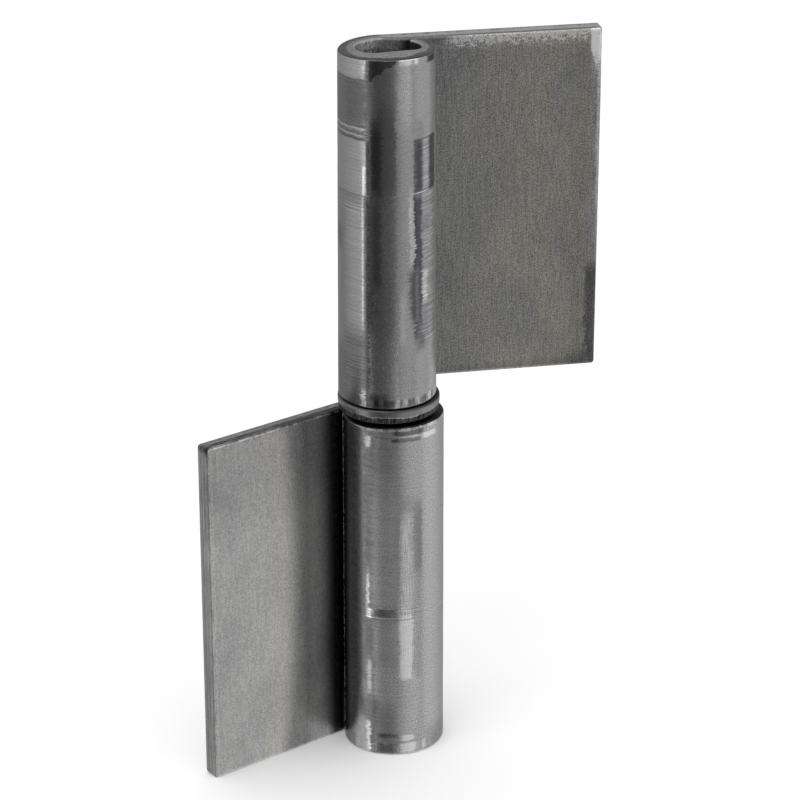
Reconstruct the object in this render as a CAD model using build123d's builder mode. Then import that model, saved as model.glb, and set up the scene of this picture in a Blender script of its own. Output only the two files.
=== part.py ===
"""Weld-on barrel hinge: two rolled steel leaves on one pin, with a thrust washer between them.

Frame: millimetres, +Z up. The origin is on the pin axis at the foot of the lower barrel, and the
lower leaf's plate runs along -X with its weld face towards +Y. The pin is held in the lower leaf.
The upper leaf drops over it from above, rests on the washer, and can turn or be lifted off.
"""

import os
from math import cos, hypot, radians, sin, sqrt

from build123d import *

# Strip that both leaves are rolled from
sheet = 3.0  # thickness of the steel
plate_edge_round = 0.4  # rounding of the plate's two long outer edges
plate_corner_round = 0.5  # rounding of the plate's outer corners
seam_gap = 0.15  # between the square end of the roll and the plate it closes against

# Lower leaf
lower_height = 59.3  # of the plate
lower_reach = 32.1  # from the pin axis to the plate's outer edge
lower_barrel_dia = 16.5
lower_barrel_shift = 0.8  # how far the roll bellies out, away from the plate
lower_end_rise = 1.1  # barrel's upper end above the plate's upper edge

# Upper leaf
upper_height = 57.4
upper_reach = 35.5
upper_barrel_dia = 15.5
upper_barrel_shift = 0.2
upper_end_rise = 1.0
upper_turn = -27.0  # degrees, from the leaves lying in one line

# Upper end of each barrel
rise_run = 5.0  # the strip's edge climbs to the barrel's end over this depth
end_fall = 0.7  # the end's outer edge is drawn down by this height
end_fall_width = 1.8  # width of that drawn edge

# Bores, closed to size on the pin and left as rolled further out
rolled_bore_dia = 10.3
lower_rolled_length = 25.0  # from the foot of the lower barrel to the pin
upper_rolled_length = 22.0  # from the upper end of the upper barrel
running_clearance = 0.08  # radial, pin in the upper barrel

# Pin, pressed into the lower barrel
pin_dia = 10.0
pin_length = 73.0
pin_nose = 1.6  # height of the bevel that guides the upper leaf on
pin_nose_draw = 0.9  # radius lost over that height
pin_foot_bevel = 0.5

# Thrust washer, punched from strip
washer_dia = 16.5
washer_thickness = 2.2
washer_clearance = 0.1  # radial, on the pin
washer_die_roll = 0.35  # rounding of the rim's upper edge, drawn in by the punch
washer_polish = 1.2  # height of the straight part of the rim, below that rounding
washer_break_draw = 0.12  # radius lost over the broken part of the rim

# Places that follow from the sizes
pin_radius = pin_dia / 2
washer_foot = lower_height + lower_end_rise
upper_foot = washer_foot + washer_thickness
barrel_top = upper_foot + upper_height + upper_end_rise
turn = radians(upper_turn)
lower_frame = Plane.XY
upper_frame = Plane((0, 0, upper_foot), x_dir=(cos(turn), sin(turn), 0), z_dir=(0, 0, 1))


def leaf_section(barrel_radius, barrel_shift, bore_radius, reach):
    """Rolled strip seen along the pin, with its plate running out along +X behind the bore.

    The strip leaves the plate at the back, rolls round by the left and the front, and its
    square-cut end closes against the front of the plate.
    """
    plate_back = bore_radius + sheet
    roll_y = plate_back - barrel_radius
    end_y = bore_radius - seam_gap
    end_x = sqrt(barrel_radius**2 - (end_y - roll_y) ** 2) - barrel_shift
    inward = bore_radius / hypot(end_x, end_y)
    with BuildSketch() as section:
        with BuildLine():
            Polyline(
                (0, bore_radius),
                (reach, bore_radius),
                (reach, plate_back),
                (-barrel_shift, plate_back),
            )
            ThreePointArc(
                (-barrel_shift, plate_back),
                (-barrel_shift - barrel_radius, roll_y),
                (end_x, end_y),
            )
            Line((end_x, end_y), (end_x * inward, end_y * inward))
            ThreePointArc((end_x * inward, end_y * inward), (0, -bore_radius), (0, bore_radius))
        make_face()
        outer_edge = section.vertices().sort_by(Axis.X)[-2:]
        fillet(outer_edge, radius=plate_edge_round)
    return section.sketch


def roll_leaf(frame, side, height, reach, barrel_dia, barrel_shift, bore_radius, end_rise):
    """Model a leaf in the open builder, standing on frame, with its plate towards side * X."""
    barrel_radius = barrel_dia / 2
    end_height = height + end_rise
    roll_centre = (-side * barrel_shift, bore_radius + sheet - barrel_radius)
    roll_end = frame.from_local_coords((*roll_centre, end_height))
    front = Plane(frame.origin, x_dir=frame.x_dir, z_dir=-frame.y_dir)
    along_plate = Plane(frame.origin, x_dir=frame.y_dir, z_dir=frame.x_dir)
    beyond = reach + barrel_dia  # a length that clears the leaf on every side

    section = leaf_section(barrel_radius, barrel_shift, bore_radius, reach)
    with BuildSketch(frame) as strip:
        add(section if side > 0 else mirror(section, about=Plane.YZ))
    extrude(strip.sketch, amount=end_height)

    # Seen from the front, the plate has rounded outer corners and stops short of the barrel's end.
    with BuildSketch(front) as outline:
        with Locations((side * reach / 2, height / 2)):
            Rectangle(reach, height)
        outer_corners = outline.vertices().sort_by_distance((side * reach, height / 2))[:2]
        fillet(outer_corners, radius=plate_corner_round)
        with Locations((0, end_height / 2)):
            Rectangle(2 * barrel_dia, end_height)
    extrude(outline.sketch, amount=beyond, both=True, mode=Mode.INTERSECT)

    # The strip's upper edge climbs from the plate to the end of the barrel.
    with BuildSketch(along_plate) as above_edge:
        with BuildLine():
            Polyline(
                (bore_radius - rise_run, end_height),
                (bore_radius, height),
                (beyond, height),
                (beyond, end_height),
                close=True,
            )
        make_face()
    extrude(above_edge.sketch, amount=beyond, both=True, mode=Mode.SUBTRACT)

    # Bending has drawn down the outer edge of that end.
    with BuildSketch(Plane(roll_end, x_dir=frame.x_dir, z_dir=-frame.y_dir)) as drawn_edge:
        with BuildLine():
            Polyline(
                (barrel_radius - end_fall_width, 0),
                (barrel_radius, -end_fall),
                (barrel_dia, -end_fall),
                (barrel_dia, 0),
                close=True,
            )
        make_face()
    revolve(drawn_edge.sketch, axis=Axis(roll_end, frame.z_dir), mode=Mode.SUBTRACT)


def leave_bore_as_rolled(mouth, depth):
    """Open the bore in the open builder to its rolled size, over a depth along mouth's normal."""
    with BuildSketch(mouth) as rolled_bore:
        Circle(rolled_bore_dia / 2)
    extrude(rolled_bore.sketch, amount=depth, mode=Mode.SUBTRACT)


with BuildPart() as lower_leaf:
    roll_leaf(
        lower_frame,
        side=-1,
        height=lower_height,
        reach=lower_reach,
        barrel_dia=lower_barrel_dia,
        barrel_shift=lower_barrel_shift,
        bore_radius=pin_radius,
        end_rise=lower_end_rise,
    )
    leave_bore_as_rolled(lower_frame, lower_rolled_length)

with BuildPart() as upper_leaf:
    roll_leaf(
        upper_frame,
        side=1,
        height=upper_height,
        reach=upper_reach,
        barrel_dia=upper_barrel_dia,
        barrel_shift=upper_barrel_shift,
        bore_radius=pin_radius + running_clearance,
        end_rise=upper_end_rise,
    )
    leave_bore_as_rolled(Plane.XY.offset(barrel_top - upper_rolled_length), upper_rolled_length)

with BuildPart() as pin:
    pin_foot = lower_rolled_length
    pin_top = pin_foot + pin_length
    with BuildSketch(Plane.XZ):
        with BuildLine():
            Polyline(
                (0, pin_foot),
                (pin_radius - pin_foot_bevel, pin_foot),
                (pin_radius, pin_foot + pin_foot_bevel),
                (pin_radius, pin_top - pin_nose),
                (pin_radius - pin_nose_draw, pin_top),
                (0, pin_top),
                close=True,
            )
        make_face()
    revolve(axis=Axis.Z)

with BuildPart() as washer:
    rim_radius = washer_dia / 2
    hole_radius = pin_radius + washer_clearance
    with BuildSketch(Plane.XZ) as half_washer:
        with BuildLine():
            Polyline(
                (hole_radius, washer_foot),
                (rim_radius - washer_break_draw, washer_foot),
                (rim_radius, upper_foot - washer_die_roll - washer_polish),
                (rim_radius, upper_foot),
                (hole_radius, upper_foot),
                close=True,
            )
        make_face()
        upper_edge = half_washer.vertices().sort_by_distance((rim_radius, upper_foot))[0]
        fillet(upper_edge, radius=washer_die_roll)
    revolve(axis=Axis.Z)

lower_leaf.part.label = "lower_leaf"
upper_leaf.part.label = "upper_leaf"
pin.part.label = "pin"
washer.part.label = "washer"

os.makedirs("parts", exist_ok=True)
export_step(lower_leaf.part, "parts/lower_leaf.step")
export_step(upper_leaf.part, "parts/upper_leaf.step")
export_step(pin.part, "parts/pin.step")
export_step(washer.part, "parts/washer.step")
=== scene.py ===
"""Weld-on barrel hinge: two strips rolled into barrels on one pin, with a punched thrust washer."""

import math

import bmesh
import bpy
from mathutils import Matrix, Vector


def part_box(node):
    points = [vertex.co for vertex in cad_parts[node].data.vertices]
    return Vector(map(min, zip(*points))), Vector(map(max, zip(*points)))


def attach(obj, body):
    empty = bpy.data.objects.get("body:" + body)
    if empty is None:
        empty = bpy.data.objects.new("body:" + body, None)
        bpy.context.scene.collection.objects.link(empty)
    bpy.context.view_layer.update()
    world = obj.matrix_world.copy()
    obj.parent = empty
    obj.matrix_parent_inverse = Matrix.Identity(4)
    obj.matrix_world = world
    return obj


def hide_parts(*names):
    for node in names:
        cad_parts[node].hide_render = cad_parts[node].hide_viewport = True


bl_info = {
    "name": "Weld-on Barrel Hinge",
    "version": (1, 0, 0),
    "blender": (4, 5, 0),
    "location": "3D View > Sidebar > Hinge",
    "description": "Makes the rolled leaves, the washer and the pin of a weld-on barrel hinge",
    "category": "Object",
}

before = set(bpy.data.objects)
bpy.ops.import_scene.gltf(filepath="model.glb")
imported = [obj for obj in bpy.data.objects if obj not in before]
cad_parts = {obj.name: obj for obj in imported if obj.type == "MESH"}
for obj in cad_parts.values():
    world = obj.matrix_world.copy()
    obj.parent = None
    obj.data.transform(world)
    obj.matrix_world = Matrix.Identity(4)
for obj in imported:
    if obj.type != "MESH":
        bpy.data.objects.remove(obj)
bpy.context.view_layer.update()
LOWER_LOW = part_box("lower_leaf")[0]
UPPER_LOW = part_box("upper_leaf")[0]
WASHER_LOW, WASHER_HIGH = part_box("washer")
MM = 0.001
TINY = 1e-9  # kept under a division, so that nothing is divided by zero


# ---------------------------------------------------------------- node writing


class Graph:
    """A node tree that is being written."""

    def __init__(self, tree):
        self.tree = tree

    def node(self, kind, settings=None, **inputs):
        """Add a node: its settings first, then its sockets by name (or in_N by number)."""
        node = self.tree.nodes.new(kind)
        for name, value in (settings or {}).items():
            setattr(node, name, value)
        for name, value in inputs.items():
            if name.startswith("in_"):
                socket = node.inputs[int(name[3:])]
            else:
                socket = node.inputs[name.replace("_", " ")]
            self.feed(socket, value)
        return node

    def feed(self, socket, value):
        """Link a socket or an expression, or set a plain value."""
        if isinstance(value, Num):
            value = value.socket
        if isinstance(value, bpy.types.NodeSocket):
            self.tree.links.new(value, socket)
        else:
            socket.default_value = value

    def math(self, operation, *values):
        """One Math node."""
        node = self.tree.nodes.new("ShaderNodeMath")
        node.operation = operation
        for socket, value in zip(node.inputs, values):
            self.feed(socket, value)
        return Num(self, node.outputs[0])

    def vector(self, x=0.0, y=0.0, z=0.0):
        return self.node("ShaderNodeCombineXYZ", X=x, Y=y, Z=z).outputs[0]

    def split(self, socket):
        node = self.node("ShaderNodeSeparateXYZ", in_0=socket)
        return [Num(self, out) for out in node.outputs]

    def step(self, value, low, high):
        """0 below low, 1 above high, with a soft step between."""
        node = self.node("ShaderNodeMapRange", {"interpolation_type": "SMOOTHSTEP"}, Value=value)
        self.feed(node.inputs["From Min"], low)
        self.feed(node.inputs["From Max"], high)
        return Num(self, node.outputs["Result"])

    def band(self, value, low, high, soft):
        """1 between low and high, with soft sides."""
        return self.step(value, low - soft, low + soft) * (
            1.0 - self.step(value, high - soft, high + soft)
        )

    def noise(self, vector, scale=1.0, detail=2.0, rough=0.5):
        """A random pattern from 0 to 1, about 0.5."""
        node = self.node(
            "ShaderNodeTexNoise",
            {"noise_dimensions": "3D"},
            Vector=vector,
            Scale=scale,
            Detail=detail,
            Roughness=rough,
        )
        return Num(self, node.outputs[0])

    def attribute(self, name, output="Fac"):
        """A value kept on the mesh: "Fac" for a number, "Vector" for three."""
        return self.node("ShaderNodeAttribute", {"attribute_name": name}).outputs[output]

    def blend(self, factor, first, second):
        """Mix two colours."""
        node = self.tree.nodes.new("ShaderNodeMix")
        node.data_type = "RGBA"
        self.feed(node.inputs[0], factor)
        self.feed(node.inputs[6], first)
        self.feed(node.inputs[7], second)
        return node.outputs[2]


class Num:
    """A number socket. Sums on it add Math nodes."""

    def __init__(self, graph, socket):
        self.graph = graph
        self.socket = socket

    def __add__(self, other):
        return self.graph.math("ADD", self, other)

    def __radd__(self, other):
        return self.graph.math("ADD", other, self)

    def __sub__(self, other):
        return self.graph.math("SUBTRACT", self, other)

    def __rsub__(self, other):
        return self.graph.math("SUBTRACT", other, self)

    def __mul__(self, other):
        return self.graph.math("MULTIPLY", self, other)

    def __rmul__(self, other):
        return self.graph.math("MULTIPLY", other, self)

    def __truediv__(self, other):
        return self.graph.math("DIVIDE", self, other)

    def __pow__(self, other):
        return self.graph.math("POWER", self, other)

    def __neg__(self):
        return self.graph.math("MULTIPLY", self, -1.0)

    def over(self, other):
        """The larger of two numbers."""
        return self.graph.math("MAXIMUM", self, other)

    def under(self, other):
        """The smaller of two numbers."""
        return self.graph.math("MINIMUM", self, other)

    def size(self):
        """The number without its sign."""
        return self.graph.math("ABSOLUTE", self)

    def root(self):
        return self.graph.math("SQRT", self)

    def sine(self):
        return self.graph.math("SINE", self)

    def cosine(self):
        return self.graph.math("COSINE", self)


# ---------------------------------------------------------------- settings


def length_setting(name, description, millimetres):
    """A setting that is a length."""
    return bpy.props.FloatProperty(
        name=name, description=description, default=millimetres * MM, unit="LENGTH", precision=5
    )


# Sizes of a leaf: name, also of the node tree's input, and description
LEAF_SIZES = {
    "sheet": ("Strip Thickness", "Thickness of the steel strip"),
    "height": ("Plate Height", "Height of the plate along the pin"),
    "reach": ("Plate Reach", "From the pin axis to the plate's outer edge"),
    "foot": ("Foot", "Height of the leaf's foot above the origin"),
    "radius_top": ("Radius Top", "Outer radius of the roll at its upper end"),
    "radius_foot": ("Radius Foot", "Outer radius of the roll at its foot"),
    "oval": ("Ovality", "How much further the roll reaches sideways than forwards"),
    "shift": ("Barrel Shift", "How far the roll bellies away from the plate"),
    "bore": ("Bore Radius", "Radius of the rolled bore"),
    "front": ("Plate Front", "From the pin axis to the front face of the plate"),
    "seam": ("Seam Gap", "Gap between the end of the roll and the plate"),
    "edge_round": ("Edge Rounding", "Rounding of the sheared edges"),
    "corner_round": ("Corner Rounding", "Rounding of the plate's outer corners"),
    "droop": ("Shear Droop", "Depth drawn down along the sheared edge"),
    "lip": ("Front Lip", "Rise of the barrel's front above the plate's edge"),
    "lip_back": ("Back Lip", "Rise of the bore's edge at the back"),
    "rim_fall": ("Rim Fall", "Fall of the rim from the bore to the outside"),
    "wave": ("Waviness", "Depth of the waves left by rolling"),
    "mouth": ("Mouth Draw", "How far the strip's edge is drawn into the bore at its front right"),
}


def leaf_settings(turn, side, **millimetres):
    """The sizes of one leaf, as properties with that leaf's own defaults."""
    found = {key: length_setting(*LEAF_SIZES[key], value) for key, value in millimetres.items()}
    found["turn"] = bpy.props.FloatProperty(
        name="Turn", description="Angle of the plate about the pin", default=turn, subtype="ANGLE"
    )
    found["side"] = bpy.props.FloatProperty(
        name="Side", description="1 for a plate along +X, -1 for one along -X", default=side
    )
    return found


class HINGE_PG_lower_leaf(bpy.types.PropertyGroup):
    """Sizes of the lower leaf."""

    __annotations__ = leaf_settings(
        sheet=3.0,
        height=59.3,
        reach=-LOWER_LOW.x / MM,
        foot=LOWER_LOW.z / MM,
        radius_top=8.15,
        radius_foot=8.25,
        oval=0.1,
        shift=0.8,
        bore=5.12,
        front=5.0,
        seam=0.15,
        edge_round=0.35,
        corner_round=0.55,
        droop=0.12,
        lip=1.05,
        lip_back=0.3,
        rim_fall=0.85,
        wave=0.03,
        mouth=0.0,
        turn=0.0,
        side=-1.0,
    )


class HINGE_PG_upper_leaf(bpy.types.PropertyGroup):
    """Sizes of the upper leaf."""

    __annotations__ = leaf_settings(
        sheet=3.0,
        height=57.4,
        reach=35.49,
        foot=UPPER_LOW.z / MM,
        radius_top=7.58,
        radius_foot=7.92,
        oval=0.0,
        shift=0.2,
        bore=5.15,
        front=5.08,
        seam=0.15,
        edge_round=0.42,
        corner_round=0.55,
        droop=0.25,
        lip=0.97,
        lip_back=0.28,
        rim_fall=0.7,
        wave=0.03,
        mouth=1.0,
        turn=math.radians(-27.0),
        side=1.0,
    )


def colour_setting(name, description, red, green, blue):
    """A setting that is a colour."""
    return bpy.props.FloatVectorProperty(
        name=name,
        description=description,
        subtype="COLOR",
        size=4,
        min=0.0,
        max=1.0,
        default=(red, green, blue, 1.0),
    )


class HINGE_PG_finish(bpy.types.PropertyGroup):
    """Colours of the steel."""

    warm: colour_setting("Warm Steel", "Clean steel, at its brightest", 0.95, 0.918, 0.81)
    cold: colour_setting("Cold Steel", "Clean steel with a grey skin", 0.912, 0.912, 0.912)
    burnt: colour_setting("Burnt Steel", "Steel rubbed violet by the die", 0.915, 0.888, 0.945)
    # The darkest end of every tone; the painted shade darkens towards it too
    dark: colour_setting("Dark Steel", "Torn or oily steel", 0.0, 0.0, 0.0)


# Sizes of the washer: name, also of the node tree's input, description and default
WASHER_SIZES = {
    "rim": ("Rim Radius", "Outer radius", 8.24),
    "hole": ("Hole Radius", "Radius of the hole", 5.1),
    "thickness": ("Thickness", "Thickness of the sheet", (WASHER_HIGH.z - WASHER_LOW.z) / MM),
    "foot": ("Foot", "Height of its foot", WASHER_LOW.z / MM),
    "roll": ("Die Roll", "Rounding drawn in by the punch", 0.35),
    "broken": ("Broken Height", "Height of the torn part of the rim", 1.0),
    "draw": ("Break Draw", "Radius lost where the rim tore", 0.14),
}


class HINGE_PG_washer(bpy.types.PropertyGroup):
    """Sizes of the thrust washer."""

    __annotations__ = {key: length_setting(*words) for key, words in WASHER_SIZES.items()}


class HINGE_PG_stage(bpy.types.PropertyGroup):
    """Camera and light."""

    lens: bpy.props.FloatProperty(
        name="Lens", description="Focal length of the camera", default=138.15, unit="CAMERA"
    )
    surround: bpy.props.FloatProperty(
        name="Surround", description="Brightness of the white surround", default=1.0, min=0.0
    )


# ---------------------------------------------------------------- meshes


def tree_with_inputs(name, inputs):
    """A geometry node tree with named inputs. Returns its graph and {input name: Num}."""
    tree = bpy.data.node_groups.new(name, "GeometryNodeTree")
    tree.interface.new_socket("Geometry", in_out="OUTPUT", socket_type="NodeSocketGeometry")
    for label, kind in inputs:
        tree.interface.new_socket(label, in_out="INPUT", socket_type=kind)
    graph = Graph(tree)
    source = tree.nodes.new("NodeGroupInput")
    sockets = {}
    for label, kind in inputs:
        socket = source.outputs[label]
        sockets[label] = socket if kind == "NodeSocketMaterial" else Num(graph, socket)
    return graph, sockets


def stored(g, geometry, kind, name, value):
    """Keep a value at every point of a mesh, for its material to read."""
    return g.node(
        "GeometryNodeStoreNamedAttribute",
        {"data_type": kind, "domain": "POINT"},
        Geometry=geometry,
        Name=name,
        Value=value,
    ).outputs[0]


def closed_tree(g, geometry, material):
    """End a geometry node tree: smooth, real and in one material."""
    smooth = g.node("GeometryNodeSetShadeSmooth", Geometry=geometry)
    real = g.node("GeometryNodeRealizeInstances", Geometry=smooth.outputs[0])
    painted = g.node("GeometryNodeSetMaterial", Geometry=real.outputs[0], Material=material)
    out = g.tree.nodes.new("NodeGroupOutput")
    g.feed(out.inputs[0], painted.outputs[0])
    return g.tree


def graded(share, strength):
    """Rows from 0 to 1, drawn together towards both ends."""
    return share - (share * math.tau).sine() * (strength / math.tau)


def edge_shrink(g, from_side, from_face):
    """How much a point of a square edge moves in to round it, as a share of both distances."""
    distance = (from_side * from_side + from_face * from_face).root().over(TINY)
    shrink = 1.0 - from_side.over(from_face) / distance
    return shrink * g.math("GREATER_THAN", from_side.under(from_face), 0.0)


# What both leaves share
CROWD_ALONG, CROWD_UP, CROWD_THROUGH = 0.82, 0.88, 0.7  # how closely the blank's rows crowd at its edges
DROOP_RUN = 1.4 * MM  # the shears drew the face down this far in from the edge
DROOP_FADE = 4.0 * MM  # and this is where that ends beside the barrel
END_SLOPE_RUN = 1.8 * MM  # the plate's outer end slopes this far in
END_SLOPE_FROM, END_SLOPE_TO = 0.3, 0.4  # shares of the height, up from the middle, where it starts
WAVES_ALONG, WAVES_UP = 55.0, 5.0  # waves in a metre of strip, and from foot to top
WAVE_START = 3.0 * MM
MOUTH_FROM, MOUTH_TO, MOUTH_SOFT = 4.35, 5.45, 0.35  # radians round the bore, where its edge is drawn in
MOUTH_DEPTH = 2.2 * MM
RIM_CLIMB = 8.0 * MM  # the rim starts to rise this far below the top
RIM_START, RIM_FULL = -3.5 * MM, 1.5 * MM  # and between these along the strip


def rolled_leaf_tree():
    """Geometry nodes that bend a flat blank into a leaf: plate first, then the roll round the bore."""
    inputs = [(label, "NodeSocketFloat") for label, _ in LEAF_SIZES.values()]
    inputs += [
        ("Turn", "NodeSocketFloat"),
        ("Side", "NodeSocketFloat"),
        ("Rows Along", "NodeSocketInt"),
        ("Rows Through", "NodeSocketInt"),
        ("Rows Up", "NodeSocketInt"),
        ("Wave Seed", "NodeSocketFloat"),
        ("Material", "NodeSocketMaterial"),
    ]
    g, at = tree_with_inputs("Rolled Leaf", inputs)
    sheet, height, reach = at["Strip Thickness"], at["Plate Height"], at["Plate Reach"]
    shift, bore, front = at["Barrel Shift"], at["Bore Radius"], at["Plate Front"]

    cube = g.node(
        "GeometryNodeMeshCube",
        Vertices_X=at["Rows Along"],
        Vertices_Y=at["Rows Through"],
        Vertices_Z=at["Rows Up"],
    )
    along, through, up = g.split(g.node("GeometryNodeInputPosition").outputs[0])

    # The blank: its length, and where the roll starts
    mean_radius = (at["Radius Top"] + at["Radius Foot"]) * 0.5
    plate_run = reach + shift
    back = front + sheet
    end_y = front - at["Seam Gap"]
    end_rise = (end_y - back + mean_radius) / mean_radius
    end_angle = g.math("ARCSINE", end_rise)
    roll_run = mean_radius * (end_angle + 1.5 * math.pi)
    length = plate_run + roll_run

    s = (graded(along + 0.5, CROWD_ALONG) - 0.5) * length
    z = (graded(up + 0.5, CROWD_UP) - 0.5) * height
    t = graded(through + 0.5, CROWD_THROUGH) * sheet

    # Rounded corners of the outline
    at_plate_end = g.math("LESS_THAN", s, 0.0)
    corner = at["Edge Rounding"] + at_plate_end * (at["Corner Rounding"] - at["Edge Rounding"])
    half_s, half_z = length * 0.5 - corner, height * 0.5 - corner
    core_s = s.over(-half_s).under(half_s)
    core_z = z.over(-half_z).under(half_z)
    ds, dz = s - core_s, z - core_z
    square = ds.size().over(dz.size())
    circle = (ds * ds + dz * dz).root().over(TINY)
    s = core_s + ds * square / circle
    z = core_z + dz * square / circle

    # Rounded edges between the outline and both faces
    edge_round = at["Edge Rounding"]
    from_side = (edge_round - corner + square).over(0.0)
    from_face = (edge_round - t.under(sheet - t)).over(0.0)
    shrink = edge_shrink(g, from_side, from_face)
    s = s - ds / circle * from_side * shrink
    z = z - dz / circle * from_side * shrink
    front_half = g.math("GREATER_THAN", t, sheet * 0.5)
    t = t + from_face * shrink * (1.0 - front_half * 2.0)

    # The shears draw the front face down along the plate's edges
    inset = corner - square
    plate_share = 1.0 - g.step(s + length * 0.5 - plate_run, -DROOP_FADE, 0.0)
    droop = (1.0 - inset / DROOP_RUN).over(0.0)
    end_slope = (1.0 - (s + length * 0.5) / END_SLOPE_RUN).over(0.0)
    end_slope = end_slope * g.step(z, height * END_SLOPE_FROM, height * END_SLOPE_TO)
    droop = droop * droop + end_slope
    t = t - at["Shear Droop"] * droop * (t / sheet) * plate_share

    # Bend: the arc coordinate is negative on the plate and positive round the roll
    arc = s + length * 0.5 - plate_run
    run_out = (-arc).over(0.0)
    roll = arc.over(0.0) / roll_run
    share_up = (z / height + 0.5).over(0.0).under(1.0)
    wave_at = g.vector(arc * WAVES_ALONG, share_up * WAVES_UP + at["Wave Seed"], 0.0)
    wave = (g.noise(wave_at, 1.0, 3.0, 0.5) - 0.5) * 2.0 * at["Waviness"]
    wave = wave * g.step(arc, 0.0, WAVE_START)
    radius = at["Radius Foot"] + (at["Radius Top"] - at["Radius Foot"]) * share_up + wave
    end_outer = g.math("ARCSINE", (end_y - back + radius) / radius)
    turn_outer = roll * (end_outer + 1.5 * math.pi) + 0.5 * math.pi
    bore_y = front - bore
    end_x = (radius * radius - (end_y - back + radius) ** 2.0).root() - shift
    end_inner = g.math("ARCTAN2", end_y - bore_y, end_x)
    turn_inner = roll * (end_inner + 1.5 * math.pi) + 0.5 * math.pi
    outer_x = run_out - shift + (radius + at["Ovality"]) * turn_outer.cosine()
    outer_y = back - radius + radius * turn_outer.sine()
    from_mouth = height * 0.5 - z
    drawn_in = g.band(turn_inner, MOUTH_FROM, MOUTH_TO, MOUTH_SOFT)
    drawn_in = drawn_in * (1.0 - g.step(from_mouth, 0.0, MOUTH_DEPTH))
    inner_radius = bore - at["Mouth Draw"] * drawn_in
    inner_x = run_out * reach / plate_run + inner_radius * turn_inner.cosine()
    inner_y = bore_y + inner_radius * turn_inner.sine()
    depth = t / sheet
    x = outer_x + (inner_x - outer_x) * depth
    y = outer_y + (inner_y - outer_y) * depth

    # The rim: the front of the barrel stands up and the rim falls outwards
    facing = (1.0 - turn_inner.sine()) * 0.5
    lip = at["Back Lip"] + (at["Front Lip"] - at["Back Lip"]) * facing * facing
    fall = at["Rim Fall"] * (facing * 0.6 + 0.4) * (1.0 - depth)
    rise = (lip - fall) * g.step(arc, RIM_START, RIM_FULL)
    rise = rise * g.step(z + height * 0.5, height - RIM_CLIMB, height)
    top = z + height * 0.5 + rise

    place = g.vector(x * at["Side"], y, top + at["Foot"])
    turned = g.node(
        "ShaderNodeVectorRotate", {"rotation_type": "Z_AXIS"}, Vector=place, Angle=at["Turn"]
    ).outputs[0]

    # The materials read where a point lies on the strip, in millimetres
    strip = g.vector(arc / MM, (z + height * 0.5) / MM, depth)
    blank = stored(g, cube.outputs["Mesh"], "FLOAT_VECTOR", "strip", strip)
    blank = stored(g, blank, "FLOAT", "inset", inset / MM)
    moved = g.node("GeometryNodeSetPosition", Geometry=blank, Position=turned)
    flipped = g.node("GeometryNodeFlipFaces", Mesh=moved.outputs[0])
    mirrored = g.node("FunctionNodeCompare", {"data_type": "FLOAT", "operation": "LESS_THAN"})
    g.feed(mirrored.inputs[0], at["Side"])
    chosen = g.node("GeometryNodeSwitch", {"input_type": "GEOMETRY"}, Switch=mirrored.outputs[0])
    g.feed(chosen.inputs["False"], moved.outputs[0])
    g.feed(chosen.inputs["True"], flipped.outputs[0])
    return closed_tree(g, chosen.outputs[0], at["Material"])


def grown(name, tree, values):
    """Evaluate a geometry node tree with these inputs and return a plain mesh object."""
    carrier = bpy.data.objects.new(name + "_carrier", bpy.data.meshes.new(name + "_carrier"))
    bpy.context.scene.collection.objects.link(carrier)
    modifier = carrier.modifiers.new("Shape", "NODES")
    modifier.node_group = tree
    identifiers = {
        item.name: item.identifier
        for item in tree.interface.items_tree
        if item.item_type == "SOCKET" and item.in_out == "INPUT"
    }
    for label, value in values.items():
        modifier[identifiers[label]] = value
    bpy.context.view_layer.update()
    evaluated = carrier.evaluated_get(bpy.context.evaluated_depsgraph_get())
    mesh = bpy.data.meshes.new_from_object(evaluated)
    carrier.modifiers.clear()
    bpy.data.objects.remove(carrier)
    mesh.name = name
    if not mesh.polygons:
        raise RuntimeError(f"{name} came out empty")
    obj = bpy.data.objects.new(name, mesh)
    bpy.context.scene.collection.objects.link(obj)
    return obj


def make_leaf(name, node, body, settings, material, seed):
    """Roll one leaf and let it stand for its CAD node."""
    tree = bpy.data.node_groups.get("Rolled Leaf") or rolled_leaf_tree()
    values = {label: getattr(settings, key) for key, (label, _) in LEAF_SIZES.items()}
    values.update(
        {
            "Turn": settings.turn,
            "Side": settings.side,
            "Rows Along": 260,
            "Rows Through": 9,
            "Rows Up": 140,
            "Wave Seed": seed,
            "Material": material,
        }
    )
    leaf = grown(name, tree, values)
    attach(leaf, body)
    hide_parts(node)


# The washer's rim and edges
CROWD_WASHER = 0.7
BAR_END = 0.0005  # a face of the straight bar this near its end, as a share of it, is its end face
FOOT_ROUND, HOLE_ROUND = 0.1 * MM, 0.15 * MM
TEAR_SOFT = 0.06 * MM  # half the height in which the rim steps in
TEAR_REACH = 0.3 * MM  # how far in from the rim the tear reaches
PIT_DEPTH = 0.16 * MM


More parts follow.
